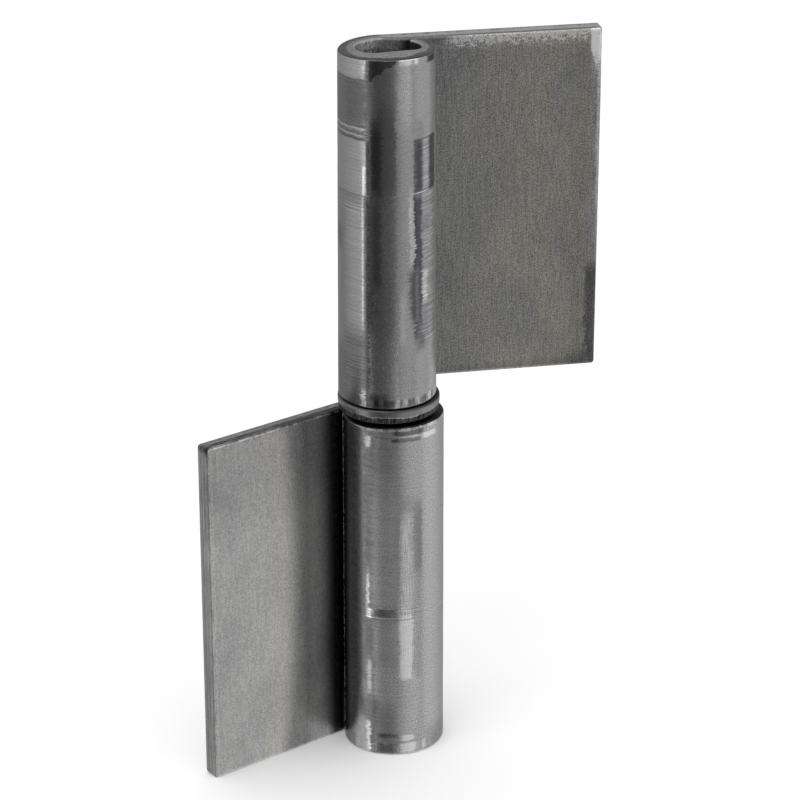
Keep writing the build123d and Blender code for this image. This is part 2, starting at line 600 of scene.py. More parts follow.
def punched_washer_tree():
    """Geometry nodes that bend a bar into a washer whose rim was cut above and torn below."""
    labels = [label for label, _, _ in WASHER_SIZES.values()]
    inputs = [(label, "NodeSocketFloat") for label in labels]
    inputs += [
        ("Rows Round", "NodeSocketInt"),
        ("Tear Seed", "NodeSocketFloat"),
        ("Material", "NodeSocketMaterial"),
    ]
    g, at = tree_with_inputs("Punched Washer", inputs)
    rim, hole, thickness, foot = (at[label] for label in labels[:4])

    bar = g.node("GeometryNodeMeshCube", Vertices_X=at["Rows Round"], Vertices_Y=12, Vertices_Z=28)
    along, inward, up = g.split(g.node("GeometryNodeInputPosition").outputs[0])
    # The bar's two end faces come off, and the open rows meet when it is bent round
    ends = g.math("GREATER_THAN", along.size(), 0.5 - BAR_END)
    open_bar = g.node(
        "GeometryNodeDeleteGeometry", {"domain": "FACE"}, Geometry=bar.outputs["Mesh"], Selection=ends
    )
    turn = along * math.tau
    from_rim = graded(inward + 0.5, CROWD_WASHER) * (rim - hole)
    height = graded(up + 0.5, CROWD_WASHER) * thickness

    # Round the four edges: the punch drew the rim's upper edge in, the others are only broken
    def rounded(from_side, from_face, radius):
        side, face = (radius - from_side).over(0.0), (radius - from_face).over(0.0)
        shrink = edge_shrink(g, side, face)
        return side * shrink, face * shrink

    to_hole = rim - hole - from_rim
    top_side, top_face = rounded(from_rim, thickness - height, at["Die Roll"])
    foot_side, foot_face = rounded(from_rim, height, FOOT_ROUND)
    bore_side, bore_face = rounded(to_hole, thickness - height, HOLE_ROUND)
    low_side, low_face = rounded(to_hole, height, HOLE_ROUND)
    radius = rim - from_rim - top_side - foot_side + bore_side + low_side
    z = height - top_face + foot_face - bore_face + low_face

    # The tear: a wavy line below which the rim steps in and is rough
    ring = g.vector(turn.cosine() * 2.2, turn.sine() * 2.2, at["Tear Seed"])
    line = at["Broken Height"] * (0.4 + g.noise(ring, 1.0, 3.0, 0.6) * 1.2)
    torn = 1.0 - g.step(height, line - TEAR_SOFT, line + TEAR_SOFT)
    on_rim = 1.0 - g.step(from_rim, 0.0, TEAR_REACH)
    pitted = g.vector(turn.cosine() * 26.0, turn.sine() * 26.0, height * 1500.0)
    pits = g.noise(pitted, 1.0, 3.0, 0.6)
    fall = (line - height).over(0.0) / line
    step_in = at["Break Draw"] * (0.35 + fall * 0.65) + (pits - 0.4).over(0.0) * PIT_DEPTH
    radius = radius - torn * on_rim * step_in

    strip = g.vector(turn * rim / MM, height / MM, from_rim / MM)
    ring_bar = stored(g, open_bar.outputs[0], "FLOAT_VECTOR", "strip", strip)
    ring_bar = stored(g, ring_bar, "FLOAT", "torn", torn * on_rim)
    place = g.vector(radius * turn.cosine(), radius * turn.sine(), z + foot)
    moved = g.node("GeometryNodeSetPosition", Geometry=ring_bar, Position=place)
    closed = g.node("GeometryNodeMergeByDistance", Geometry=moved.outputs[0], Distance=1e-6)
    return closed_tree(g, closed.outputs[0], at["Material"])


# ---------------------------------------------------------------- materials


def new_material(name):
    """An empty material and the graph of its tree."""
    material = bpy.data.materials.new(name)
    material.use_nodes = True
    material.node_tree.nodes.clear()
    return material, Graph(material.node_tree)


def surface(g, kind="ShaderNodeBsdfPrincipled", **inputs):
    """End a material's tree in a surface."""
    shader = g.node(kind, **inputs)
    out = g.node("ShaderNodeOutputMaterial")
    g.feed(out.inputs["Surface"], shader.outputs[0])


def metal(g, colour, rough, relief):
    """End a material's tree in bare metal, with its relief in millimetres."""
    bump = g.node("ShaderNodeBump", Strength=1.0, Distance=MM, Height=relief).outputs[0]
    surface(g, Base_Color=colour, Metallic=1.0, Roughness=rough, Normal=bump)


def toward(value, goal, share):
    """The value, moved towards a goal by a share."""
    return value + (goal - value) * share


# How the rolling die left the outside of each barrel. Each row is one worked place: arc from and to,
# height from and to, softness along the arc and up the barrel (all in millimetres), how bright the
# steel is there beside bare strip, and how rough.
UPPER_WORKED = (
    # scaled left side, drawn bright in the middle
    (4.0, 19.6, -9.0, 99.0, 0.9, 1.0, 0.41, 0.34),
    (4.0, 20.2, 35.6, 44.6, 0.3, 0.4, 0.70, 0.17),
    (4.0, 19.3, 13.0, 35.4, 0.25, 2.5, 0.72, 0.18),
    (4.0, 15.4, 10.0, 35.2, 1.6, 3.0, 0.54, 0.20),
    (15.6, 19.4, 47.2, 54.2, 0.9, 0.8, 0.33, 0.30),
    (4.0, 14.2, 26.0, 30.0, 1.0, 1.2, 0.34, 0.24),
    (4.0, 19.6, 54.3, 58.0, 0.3, 0.15, 0.82, 0.20),
    (4.0, 19.5, 46.15, 46.5, 0.5, 0.12, 0.95, 0.20),
    (4.0, 19.5, 45.2, 45.5, 0.5, 0.12, 0.90, 0.20),
    (4.0, 19.5, 44.65, 44.95, 0.5, 0.12, 0.25, 0.30),
    # front, darkened by the die above the mark
    (21.6, 24.6, 35.6, 49.5, 0.5, 3.0, 0.88, 0.20),
    (20.4, 22.1, 35.6, 47.5, 0.4, 2.5, 0.50, 0.17),
    (19.9, 24.4, -2.0, 35.0, 0.3, 2.5, 1.08, 0.26),
    (19.7, 20.7, 12.0, 35.4, 0.3, 2.5, 0.68, 0.22),
    (20.6, 21.9, 20.5, 34.4, 0.35, 1.4, 0.76, 0.20),
    (19.8, 24.7, -2.0, 12.0, 0.4, 4.0, 1.40, 0.27),
    (18.9, 20.0, -2.0, 35.2, 0.15, 1.0, 0.46, 0.20),
    (18.6, 20.0, -2.0, 12.5, 0.25, 2.0, 0.46, 0.30),
    (20.0, 22.8, 0.2, 2.6, 0.4, 0.7, 0.80, 0.18),
    (18.5, 19.4, 0.3, 3.0, 0.15, 0.8, 0.85, 0.17),
    # right side
    (24.6, 27.6, -2.0, 58.0, 0.35, 2.0, 1.02, 0.32),
    (24.6, 27.0, 47.0, 58.0, 0.5, 4.0, 1.36, 0.34),
    (27.8, 44.0, -2.0, 58.0, 1.2, 2.0, 0.92, 0.34),
    (30.8, 44.0, -2.0, 58.0, 0.9, 2.0, 1.40, 0.34),
    (27.9, 29.6, 44.5, 47.4, 0.6, 1.4, 0.68, 0.28),
    # pressed window of the die and the worn strip below it
    (27.6, 33.1, 35.7, 44.6, 0.4, 0.15, 0.46, 0.16),
    (27.7, 29.2, 35.8, 44.5, 0.6, 0.3, 0.20, 0.16),
    # a painted highlight up the middle of the window
    (29.4, 31.0, 36.1, 44.3, 0.45, 0.3, 0.92, 0.17),
    (27.6, 30.6, 10.0, 35.6, 0.5, 1.2, 0.80, 0.18),
    (27.4, 29.0, 11.5, 35.6, 0.35, 1.2, 0.22, 0.16),
    (26.5, 28.2, 14.5, 24.0, 0.5, 1.6, 0.42, 0.18),
    (27.9, 29.6, 9.8, 14.5, 0.5, 1.2, 0.42, 0.18),
    (28.9, 30.7, 29.4, 31.8, 0.5, 0.7, 0.62, 0.20),
    (29.1, 30.4, 17.4, 22.8, 0.4, 0.6, 1.35, 0.16),
    (28.9, 30.3, 12.0, 17.0, 0.4, 0.7, 0.66, 0.18),
    (24.9, 25.8, 11.0, 19.5, 0.3, 1.6, 1.30, 0.20),
    (26.6, 27.4, 24.0, 35.6, 0.2, 2.5, 1.55, 0.22),
    # bites under the rim
    (19.25, 19.7, 55.2, 58.0, 0.08, 0.2, 1.15, 0.15),
    # a burnished patch, painted bright as a highlight on the rim's rolled edge
    (25.0, 28.3, 56.4, 58.0, 0.35, 0.3, 1.95, 0.13),
    (30.4, 33.4, 56.2, 57.2, 0.3, 0.15, 0.26, 0.16),
)
LOWER_WORKED = (
    # painted shade in the corner beside the plate
    (35.9, 60.0, -2.0, 60.0, 0.7, 2.0, 0.98, 0.30),
    (38.3, 60.0, -2.0, 60.0, 1.0, 2.0, 0.55, 0.26),
    (39.7, 60.0, -2.0, 60.0, 1.2, 2.0, 0.36, 0.28),
    # pale scuffed front
    (33.9, 36.2, -2.0, 60.0, 0.6, 2.0, 0.46, 0.38),
    (29.6, 34.2, -2.0, 60.0, 0.8, 2.0, 0.96, 0.44),
    (30.4, 34.6, 27.2, 49.0, 0.9, 4.5, 1.08, 0.50),
    (31.6, 34.6, 26.9, 36.0, 0.8, 2.5, 1.12, 0.50),
    (30.2, 34.4, 18.5, 24.8, 0.9, 1.6, 1.18, 0.46),
    (30.2, 34.6, 9.5, 17.5, 0.9, 2.6, 1.16, 0.50),
    # bright drawn strip, its dark border and the pale top of the right side
    (27.0, 30.3, 34.0, 58.0, 0.9, 3.0, 0.84, 0.38),
    (26.0, 30.3, 46.8, 57.4, 0.9, 1.4, 1.05, 0.38),
    (26.2, 27.9, 14.0, 45.5, 0.5, 1.6, 0.94, 0.30),
    (26.2, 27.8, 33.5, 45.5, 0.4, 1.8, 0.66, 0.28),
    (26.8, 30.6, 3.5, 14.5, 0.7, 1.2, 1.12, 0.42),
    (28.1, 30.3, 14.6, 44.4, 0.75, 2.4, 1.20, 0.22),
    (28.0, 30.3, 14.2, 26.0, 0.4, 0.6, 1.68, 0.22),
    (34.0, 37.5, 6.6, 10.8, 0.9, 1.4, 0.44, 0.36),
    # rings pressed by the die's edge
    (29.9, 34.8, 25.7, 27.1, 0.4, 0.12, 1.28, 0.24),
    (34.7, 35.9, 25.2, 27.0, 0.3, 0.2, 1.15, 0.16),
    (35.2, 35.9, 26.5, 33.5, 0.25, 2.5, 1.00, 0.18),
    (34.6, 35.8, 11.3, 17.6, 0.5, 1.2, 0.72, 0.20),
    (35.1, 36.0, 0.2, 6.0, 0.3, 0.5, 1.05, 0.18),
    (34.9, 36.2, 55.8, 57.8, 0.3, 0.4, 0.80, 0.20),
    (30.4, 33.8, 3.2, 4.0, 0.7, 0.3, 0.95, 0.24),
    (24.0, 34.2, 0.5, 2.1, 0.6, 0.2, 1.35, 0.24),
    (27.8, 29.9, 2.6, 3.7, 0.4, 0.2, 1.60, 0.20),
    (27.5, 30.0, 0.4, 2.1, 0.4, 0.25, 1.70, 0.19),
    (25.8, 31.0, 57.95, 58.75, 0.6, 0.1, 0.42, 0.18),
    (26.8, 31.2, 56.85, 57.5, 0.6, 0.1, 0.50, 0.18),
    # painted highlights just under the rim
    (26.6, 35.0, 57.62, 57.8, 0.9, 0.08, 1.40, 0.18),
    (23.2, 26.2, 57.0, 57.9, 0.5, 0.15, 1.55, 0.18),
    (18.0, 25.5, -1.0, 4.0, 0.8, 1.5, 0.74, 0.34),
)


class LeafSteel:
    """Rolled strip: dull on the plate, burnished round the barrel, torn on its cut edges.

    A point lies at arc, millimetres along the strip from where the roll starts (negative on the
    plate), at height, millimetres above the plate's foot, and at depth, 0 on the strip's outer face
    and 1 on its inner one. inset is its distance in from the strip's outline. tone says how bright
    the steel is beside bare strip. Each leaf has its own worked_barrel, plate_marks, edge_marks and
    warmth.
    """

    def __init__(self, name, finish, settings):
        self.material, g = new_material(name)
        self.g, self.finish = g, finish
        self.arc, self.height, self.depth = g.split(g.attribute("strip", "Vector"))
        arc, height, depth = self.arc, self.height, self.depth
        self.inset = Num(g, g.attribute("inset"))
        self.tall = settings.height / MM
        self.plate_end = -(settings.reach + settings.shift) / MM
        self.barrel = g.step(arc, -0.8, 0.8)
        self.outside = self.barrel * (1.0 - g.step(depth, 0.1, 0.4))

        # Patterns that follow the strip, each from 0 to 1 about 0.5
        self.fine = g.noise(g.vector(arc, height * 0.8, depth * 3.0), 5.2, 2.0, 0.65)
        self.speck = g.noise(g.vector(arc, height, depth * 3.0 + 5.0), 1.5, 3.0, 0.6)
        self.fibre = g.noise(g.vector(arc * 4.2, height * 0.22, depth), 1.3, 3.0, 0.6)
        self.cloud = g.noise(g.vector(arc, height * 0.7, depth), 0.12, 3.0, 0.5)
        self.scratch = g.noise(g.vector(arc * 0.07, height * 3.6, 1.0), 1.0, 3.0, 0.75)
        self.tear = g.noise(g.vector(arc * 0.35, height * 2.4, 4.0), 1.0, 2.0, 0.6)
        self.patchy = g.noise(g.vector(arc * 0.9, height * 0.5, 9.0), 1.0, 3.0, 0.6)

    def paint(self):
        """Write the whole material and return it."""
        tone, rough = self.worked_barrel()
        tone, rough = self.plate(tone, rough)
        tone, rough = self.cut_edges(tone, rough)
        self.colour_and_relief(tone, rough)
        return self.material

    def worked_places(self, rows, ragged_arc, rough):
        """Lay the places that the die worked one over the other."""
        g = self.g
        ragged_height = self.height + (self.patchy - 0.5) * 0.5 + (self.speck - 0.5) * 0.3
        tone = 1.0
        for arc_low, arc_high, low, high, soft, soft_up, bright, dull in rows:
            place = g.band(ragged_arc, arc_low, arc_high, soft) * g.band(ragged_height, low, high, soft_up)
            tone = toward(tone, bright, place)
            rough = toward(rough, dull, place)
        bitten = g.noise(g.vector(self.arc, self.height * 0.2, 6.0), 1.0, 2.0, 0.5)
        self.bitten = g.step(bitten, 0.4, 0.6) - 0.5
        return tone, rough

    def scored(self, tone, lines, ring_dark, ring_highlight):
        """Fine lines round the barrel, and the ring pressed in by the die's edge, with a painted highlight
        along its ridge.
        """
        g, height = self.g, self.height
        tone = tone * (1.0 + (self.scratch - 0.5) * (lines + 0.25))
        self.groove = g.band(height, self.RING - 0.12, self.RING + 0.02, 0.08) * self.outside
        ridge_highlight = g.band(height, self.RING + 0.1, self.RING + 0.22, 0.08) * self.outside
        return tone * (1.0 - self.groove * ring_dark) + ridge_highlight * (0.05 + ring_highlight)

    def plate(self, tone, rough):
        """The plate, matt and mottled with fine fibres running up it, up to the worked barrel."""
        skin = 1.0 + (self.fibre - 0.5) * self.PLATE_FIBRE + (self.cloud - 0.5) * 0.5
        plate_rough = self.PLATE_ROUGH + (self.cloud - 0.5) * 0.12
        skin, plate_rough = self.plate_marks(skin, plate_rough)
        return toward(skin, tone, self.outside), toward(plate_rough, rough, self.outside)

    def cut_edges(self, tone, rough):
        """Cut edges, dark where the metal tore, and the inside of the roll: painted shade in the bore, with
        painted light near its mouth.
        """
        g, arc, height, depth, inset = self.g, self.arc, self.height, self.depth, self.inset
        self.wall = 1.0 - g.step(inset, 0.04, 0.16)
        self.shear = g.noise(g.vector(arc * 0.5, height * 0.3, depth * 10.0), 1.0, 3.0, 0.7)
        self.top_edge = self.wall * g.step(height, self.tall - 1.6, self.tall - 0.3)
        self.rounding = 1.0 - g.step(inset, 0.12, 0.42)
        self.uneven = depth + (self.patchy - 0.5) * 0.35
        # Painted shade inside the bore, and painted light falling in near its top
        inside = g.step(depth, 0.75, 0.97) * g.step(arc, -6.5, -5.5) * g.step(inset, 0.1, 0.5)
        mouth = inside * g.step(height, self.tall - 3.6, self.tall - 0.8) * g.band(arc, -3.2, 33.0, 1.4)
        tone = tone * (1.0 - inside * 0.7) + mouth * (0.5 + self.patchy)
        rough = toward(rough, 0.6, mouth)
        tone, rough = self.edge_marks(tone, toward(rough, 0.42, self.wall), inside)
        worn_edge = self.rounding * (1.0 - self.wall) * (1.0 - self.barrel)
        return tone, toward(rough, 0.6, worn_edge)

    def colour_and_relief(self, tone, rough):
        """Grain, colour and relief over everything."""
        g, outside, speck = self.g, self.outside, self.speck
        grain = (self.fine - 0.5) * self.GRAIN_FINE + (speck - 0.5) * self.GRAIN_SPECK
        grain = grain + (self.fibre - 0.5) * self.GRAIN_FIBRE * (1.0 - outside)
        grain = grain * (1.0 - outside * self.BARREL_CALM) * (1.0 - self.top_edge * 0.6)
        polish = 1.0 - g.step(rough, 0.18, 0.3)
        tone = tone * (1.0 + grain * (1.0 - polish * 0.5))
        lit = (tone * self.BRIGHTNESS).over(0.03).under(1.0)
        warmth = self.warmth(g.step(self.cloud, 0.25, 0.6) * (1.0 - outside))
        steel = g.blend(warmth, tuple(self.finish.cold), tuple(self.finish.warm))
        steel = self.burnt(steel, tone, polish)
        colour = g.blend(lit, tuple(self.finish.dark), steel)
        relief = (self.fine - 0.5) * self.FINE_RELIEF * (1.0 - outside * 0.8)
        relief = relief + (self.scratch - 0.5) * 0.005 * outside
        relief = relief + (self.patchy - 0.5) * 0.022 * outside - self.groove * 0.02
        relief = relief + (self.shear - 0.5) * 0.05 * self.wall
        metal(g, colour, rough + (speck - 0.5) * 0.12, relief)

    def burnt(self, steel, tone, polish):
        """The violet that the die rubbed on, which only the upper leaf has."""
        return steel


class UpperLeafSteel(LeafSteel):
    """The upper leaf: dark and warm, with the die's window on its barrel."""

    RING = 35.7  # height of the ring that the die's edge pressed in
    BARREL_ROUGH, PLATE_ROUGH, PLATE_FIBRE = 0.32, 0.40, 0.6
    GRAIN_FINE, GRAIN_SPECK, GRAIN_FIBRE, BARREL_CALM = 2.7, 0.45, 0.5, 0.4
    BRIGHTNESS, FINE_RELIEF = 0.5, 0.010

    def worked_barrel(self):
        g, arc, height, tear, patchy = self.g, self.arc, self.height, self.tear, self.patchy
        # The places' sides are straight beside the window and wander in the worn strip below it
        sway = 1.6 - g.step(arc, 25.8, 27.0) * g.step(height, 35.0, 35.6)
        worn = g.step(arc, 25.5, 27.5) * (1.0 - g.step(height, 33.5, 35.6))
        wander = g.noise(g.vector(arc * 0.1, height * 0.17, 2.0), 1.0, 2.0, 0.6)
        ragged_arc = arc + (tear - 0.5) * sway + (patchy - 0.5) * 0.8
        ragged_arc = ragged_arc + (wander - 0.5) * 1.6 * worn
        tone, rough = self.worked_places(UPPER_WORKED, ragged_arc, self.BARREL_ROUGH)

        # A dark wedge under the collar
        slope = (height - 54.6) * 1.5 + 20.9 - ragged_arc - (patchy - 0.5) * 2.0
        wedge = g.band(arc, 20.2, 25.8, 0.3) * g.step(slope, -0.3, 0.3) * (1.0 - g.step(height, 57.1, 57.4))
        tone, rough = toward(tone, 0.52, wedge), toward(rough, 0.15, wedge)

        # A bright line up the side of the scaled part, and bites along the foot
        line = g.band(arc, 18.8, 19.15, 0.15) * g.band(height, 14.0, 35.3, 2.0) * g.step(tear, 0.3, 0.6)
        edge = g.band(arc, 19.0, 19.65, 0.12) * g.band(height, 35.8, 40.4, 0.3)
        edge = edge + g.band(arc, 19.25, 19.6, 0.12) * g.band(height, 40.0, 44.0, 1.0) * 0.5
        tone = tone + line * 0.65 + edge * (0.55 + tear * 0.5)
        tone = tone * (1.0 + self.bitten * g.band(height, 0.4, 1.7, 0.35) * g.step(arc, 17.0, 20.0) * 1.1)

        # Drawn lines across the scaled part and the window, and the ring from the die's edge with a painted
        # highlight on its ridge
        scaled = 1.0 - g.step(arc, 18.5, 21.0)
        drawn = g.band(height, 44.6, 47.0, 0.3) + g.band(height, 3.0, 12.5, 2.5) * 0.75
        drawn = (drawn + g.band(height, 32.0, 35.0, 0.6) * 0.7).under(1.0) * (1.0 - g.step(arc, 19.0, 20.4))
        window = g.band(arc, 27.4, 32.8, 0.3) * g.band(height, 10.0, 44.6, 1.0)
        ring_dark = 0.12 + (1.0 - g.step(arc, 18.5, 19.8)) * 0.45
        # painted highlight on the ring's ridge, on the barrel's right side
        ring_highlight = g.step(arc, 26.5, 28.0) * 1.2
        lines = drawn * 1.8 + window * 2.8 + scaled * 0.6
        return self.scored(tone, lines, ring_dark, ring_highlight), rough

    def plate_marks(self, skin, rough):
        g, arc, height, speck, patchy = self.g, self.arc, self.height, self.speck, self.patchy
        skin = skin * (0.78 + g.step(-arc, 10.0, 19.0) * 0.09 - g.step(-arc, 28.0, 33.0) * 0.11)
        skin = skin * (1.0 - (1.0 - g.step(height, 0.5, 4.0)) * g.step(-arc, 26.0, 33.0) * 0.4)
        # Frayed scale under the top edge
        frayed = g.step(speck * 0.7 + self.fine * 0.3 + (height - self.tall + 1.6) * 0.13, 0.47, 0.62)
        self.frayed = frayed * g.band(height, 54.6, 57.1, 0.6) * g.step(-arc, 9.0, 13.0)
        dusted = g.step(height + (patchy - 0.5) * 1.6, 54.3, 56.3) * g.step(-arc, 9.0, 13.0)
        glint = 0.9 + g.step(height, 55.2, 56.9) * 1.2 + (self.fine - 0.5) * 1.8
        skin = skin + self.frayed * glint + dusted * 0.28
        # Bare metal along the outer end, widest at its top corner
        bared = g.step(height + (patchy - 0.5) * 3.0, 50.5, 54.5)
        bared_width = 0.7 + g.step(height, 49.5, 54.5) * 1.15 + (patchy - 0.5) * 0.5
        edge_light = g.band(arc, self.plate_end + 0.2, self.plate_end + bared_width, 0.3)
        edge_light = edge_light * g.step(height, 17.0, 30.0)
        skin = skin + edge_light * (patchy * 1.4 - 0.4 + bared * 1.7)
        # A dark stain below it
        stained = arc + (patchy - 0.5) * 2.6 + (speck - 0.5) * 1.2
        stain = 1.0 - g.step(stained, self.plate_end + 1.5, self.plate_end + 2.3)
        stain = stain * g.band(height, 1.5, 17.5, 1.5)
        skin = skin * (1.0 - stain * (0.35 + patchy * 0.4)) * (1.0 - (1.0 - g.step(height, 0.6, 2.0)) * 0.15)
        return skin, rough - edge_light * bared * 0.1

    def edge_marks(self, tone, rough, inside):
        g, arc, height, depth, speck = self.g, self.arc, self.height, self.depth, self.speck
        uneven, top_edge, tall = self.uneven, self.top_edge, self.tall
        # The barrel's rim: grey, dark round the outside, light along the bore, pitted
        width = 0.25 + (1.0 - g.step(arc, 12.0, 18.0)) * 0.28 + g.step(arc, 26.0, 30.0) * 0.2
        rim = 0.44 + (speck - 0.5) * 0.5 + (self.fine - 0.5) * 0.5 + (self.cloud - 0.5) * 0.2
        rim = rim + g.step(depth, 0.84, 0.93) * 0.25
        rim = rim * (1.0 - (1.0 - g.step(uneven - width, -0.05, 0.05)) * 0.68)
        rim = rim * (1.0 - g.step(speck, 0.62, 0.7) * 0.5)
        # The plate's top edge: a dark line near the front and a torn, pitted back
        plate_top = 0.72 + (speck - 0.5) * 0.6
        plate_top = plate_top * (1.0 - g.band(depth, 0.78, 0.94, 0.06) * 0.55)
        plate_top = plate_top * (0.45 + g.step(uneven, 0.1, 0.3) * 0.55)
        pitted = g.step(self.patchy, 0.5, 0.62) * (1.0 - g.step(uneven, 0.35, 0.55))
        plate_top = plate_top * (1.0 - pitted * 0.6)
        tone = toward(tone, toward(plate_top, rim, self.barrel), top_edge)
        drawn_edge = (1.0 - g.step(self.inset, 0.3, 0.8)) * (1.0 - self.wall)
        drawn_edge = drawn_edge * g.step(height, tall - 1.6, tall - 0.8) * g.step(depth, 0.7, 0.85)
        tone = tone * (1.0 - drawn_edge * (1.0 - self.barrel) * 0.5)
        # Painted shade along the barrel's foot, where it meets the washer
        foot_joint_shade = self.rounding * (1.0 - g.step(height, 0.2, 0.6)) * self.barrel
        tone = tone * (1.0 - foot_joint_shade * 0.9)
        scuffed = g.band(arc, 2.0, 6.5, 0.8) * g.step(height, tall - 5.0, tall - 2.0)
        return tone + inside * scuffed * g.step(speck, 0.42, 0.55) * 1.3, rough

    def warmth(self, warmth):
        g, arc = self.g, self.arc
        warmth = warmth * (0.25 + g.step(-arc, 12.0, 26.0) * 0.75)
        warmth = warmth * g.step(arc, self.plate_end + 0.8, self.plate_end + 2.5)
        return warmth * (1.0 - self.frayed * 0.55)

    def burnt(self, steel, tone, polish):
        g = self.g
        rubbed = g.step(self.arc, 26.5, 27.5) * (1.0 - g.step(tone, 0.8, 1.5))
        rubbed = rubbed.over(1.0 - g.step(tone, 0.3, 0.65))
        violet = (polish * self.outside * rubbed).over(self.top_edge * 0.35)
        return g.blend(violet, steel, tuple(self.finish.burnt))


class LowerLeafSteel(LeafSteel):
    """The lower leaf: pale and scuffed, with painted reflection and shade darkening the plate beside its
    barrel.
    """

    RING = 25.3
    BARREL_ROUGH, PLATE_ROUGH, PLATE_FIBRE = 0.36, 0.28, 0.4
    GRAIN_FINE, GRAIN_SPECK, GRAIN_FIBRE, BARREL_CALM = 1.6, 0.15, 0.3, -0.3
    BRIGHTNESS, FINE_RELIEF = 0.62, 0.006

    def worked_barrel(self):
        g, arc, height = self.g, self.arc, self.height
        ragged_arc = arc + (self.tear - 0.5) * 1.6 + (self.patchy - 0.5) * 0.8
        tone, rough = self.worked_places(LOWER_WORKED, ragged_arc, self.BARREL_ROUGH)

        # Painted shade in the corner beside the plate at the foot, bites along the foot, fibres in the
        # bright strip
        corner_foot_shade = g.step(arc, 35.8, 37.2) * (1.0 - g.step(height + (arc - 41.5) * 1.1, 0.5, 4.5))
        tone = tone * (1.0 - corner_foot_shade * 0.25)
        tone = tone * (1.0 + self.bitten * g.band(height, 0.3, 2.3, 0.5) * 0.25)
        bright_strip = g.band(arc, 27.4, 30.2, 0.4) * g.band(height, 14.0, 44.0, 2.0)
        tone = tone * (1.0 + (self.fibre - 0.5) * bright_strip * 1.4)

        # Bright specks where the roll closes on the plate: a painted highlight along the barrel's edge,
        # broken into specks
        seam = g.band(arc, 42.5, 43.4, 0.15) * g.step(self.speck, 0.4, 0.55)
        tone, rough = tone + seam * 1.2, toward(rough, 0.7, seam)

        lines = g.band(arc, 27.6, 35.5, 1.0) * 0.3 + g.band(height, 25.3, 27.1, 0.2)
        lines = lines + g.band(arc, 27.6, 30.2, 0.4) * 0.5 + g.band(arc, 34.4, 36.2, 0.2) * 1.2
        ring_dark = g.band(arc, 27.8, 35.9, 0.3) * 0.35 + 0.08
        # painted highlight on the ring's ridge
        ring_highlight = g.band(arc, 28.0, 35.9, 0.3) * 0.6
        return self.scored(tone, lines, ring_dark, ring_highlight), rough

    def plate_marks(self, skin, rough):
        g, arc, height = self.g, self.arc, self.height
        skin = skin + g.step(height, self.tall - 9.0, self.tall) * (self.patchy - 0.5) * 0.3
        # Painted reflection of the barrel's dark side and painted shade in the bend, on the front face
        # beside the barrel
        self.front = g.step(self.depth, 0.4, 0.6)
        self.bow = arc + (height - 33.0) * (height - 33.0) * 0.0022
        barrel_reflection_shade = (1.0 - g.step(self.bow, -18.2, -14.1) * 0.53) * (1.0 + g.step(arc, -14.0, -11.8) * 0.5)
        barrel_reflection_shade = barrel_reflection_shade * (1.0 - g.step(arc, -9.9, -7.4) * 0.95) * (1.0 - g.step(height, 40.0, 51.0) * 0.16)
        skin = skin * toward(1.0, barrel_reflection_shade, self.front)
        return skin, rough + g.band(arc, -12.5, -8.5, 1.5) * self.front * 0.12

    def edge_marks(self, tone, rough, inside):
        g, arc, height, depth, patchy = self.g, self.arc, self.height, self.depth, self.patchy
        top_edge, barrel, shear, tall = self.top_edge, self.barrel, self.shear, self.tall
        end_edge = self.wall * (1.0 - g.step(arc, self.plate_end + 0.3, self.plate_end + 0.6))
        torn = top_edge * (0.60 + (shear - 0.5) * 1.4 + g.band(self.uneven, 0.5, 0.85, 0.08) * 0.22)
        tone = tone * (1.0 - torn.under(0.95)) * (1.0 - end_edge * (0.38 + (shear - 0.5) * 0.7))
        # Painted shade on the barrel's rim, under the washer
        tone = tone * (1.0 - top_edge * barrel * 0.85)
        # The barrel's outer lip, darkened in patches, with a painted highlight as a bright bead under it
        lip = self.rounding * barrel * g.step(height, tall - 1.0, tall - 0.4)
        lip = lip * (1.0 - g.step(depth, 0.3, 0.5)) * (1.0 - g.step(arc, 28.0, 36.0) * 0.6)
        tone = tone * (1.0 - lip * (1.0 - g.step(patchy, 0.4, 0.6)) * 0.4)
        rim_highlight = g.band(height, tall - 0.5, tall - 0.15, 0.12) * g.band(arc, 20.0, 35.5, 2.0) * self.outside
        tone = tone + rim_highlight * g.step(patchy, 0.42, 0.55) * 0.6
        # Two dark shear lines up the plate's end, painted light on its front corner, and the burr
        sheared = g.band(depth, 0.28, 0.4, 0.06) * 0.35 + g.band(depth, 0.55, 0.63, 0.05) * 0.3
        tone = tone * (1.0 - end_edge * sheared)
        corner = (1.0 - g.step(arc, self.plate_end + 0.4, self.plate_end + 0.9)) * g.step(depth, 0.7, 0.9)
        tone = tone * (1.0 + corner * 0.35)
        burr = g.step(depth, 0.9, 0.99) * g.band(self.inset, 0.02, 0.26, 0.08) * (1.0 - barrel)
        return tone + burr * g.step(patchy, 0.42, 0.6) * 1.1, toward(rough, 0.85, corner)

    def warmth(self, warmth):
        return warmth * 0.1 + self.g.band(self.bow, -21.0, -16.5, 1.5) * self.front * 0.4


def pin_steel(name, finish):
    """Bright drawn rod with fine lines along it and a dark oily skin in places."""
    material, g = new_material(name)
    x, y, z = g.split(g.node("ShaderNodeTexCoord").outputs["Object"])
    drawn = g.noise(g.vector(x * 2200.0, y * 2200.0, z * 60.0), 1.0, 3.0, 0.6)
    oily = g.step(g.noise(g.vector(x * 300.0, y * 300.0, z * 120.0), 1.0, 3.0, 0.6), 0.5, 0.7)
    tone = 0.5 + (drawn - 0.5) * 0.35 - oily * 0.15
    colour = g.blend(tone, tuple(finish.dark), tuple(finish.cold))
    rough = 0.24 + (drawn - 0.5) * 0.15 + oily * 0.12
    metal(g, colour, rough, drawn * 0.004)
    return material


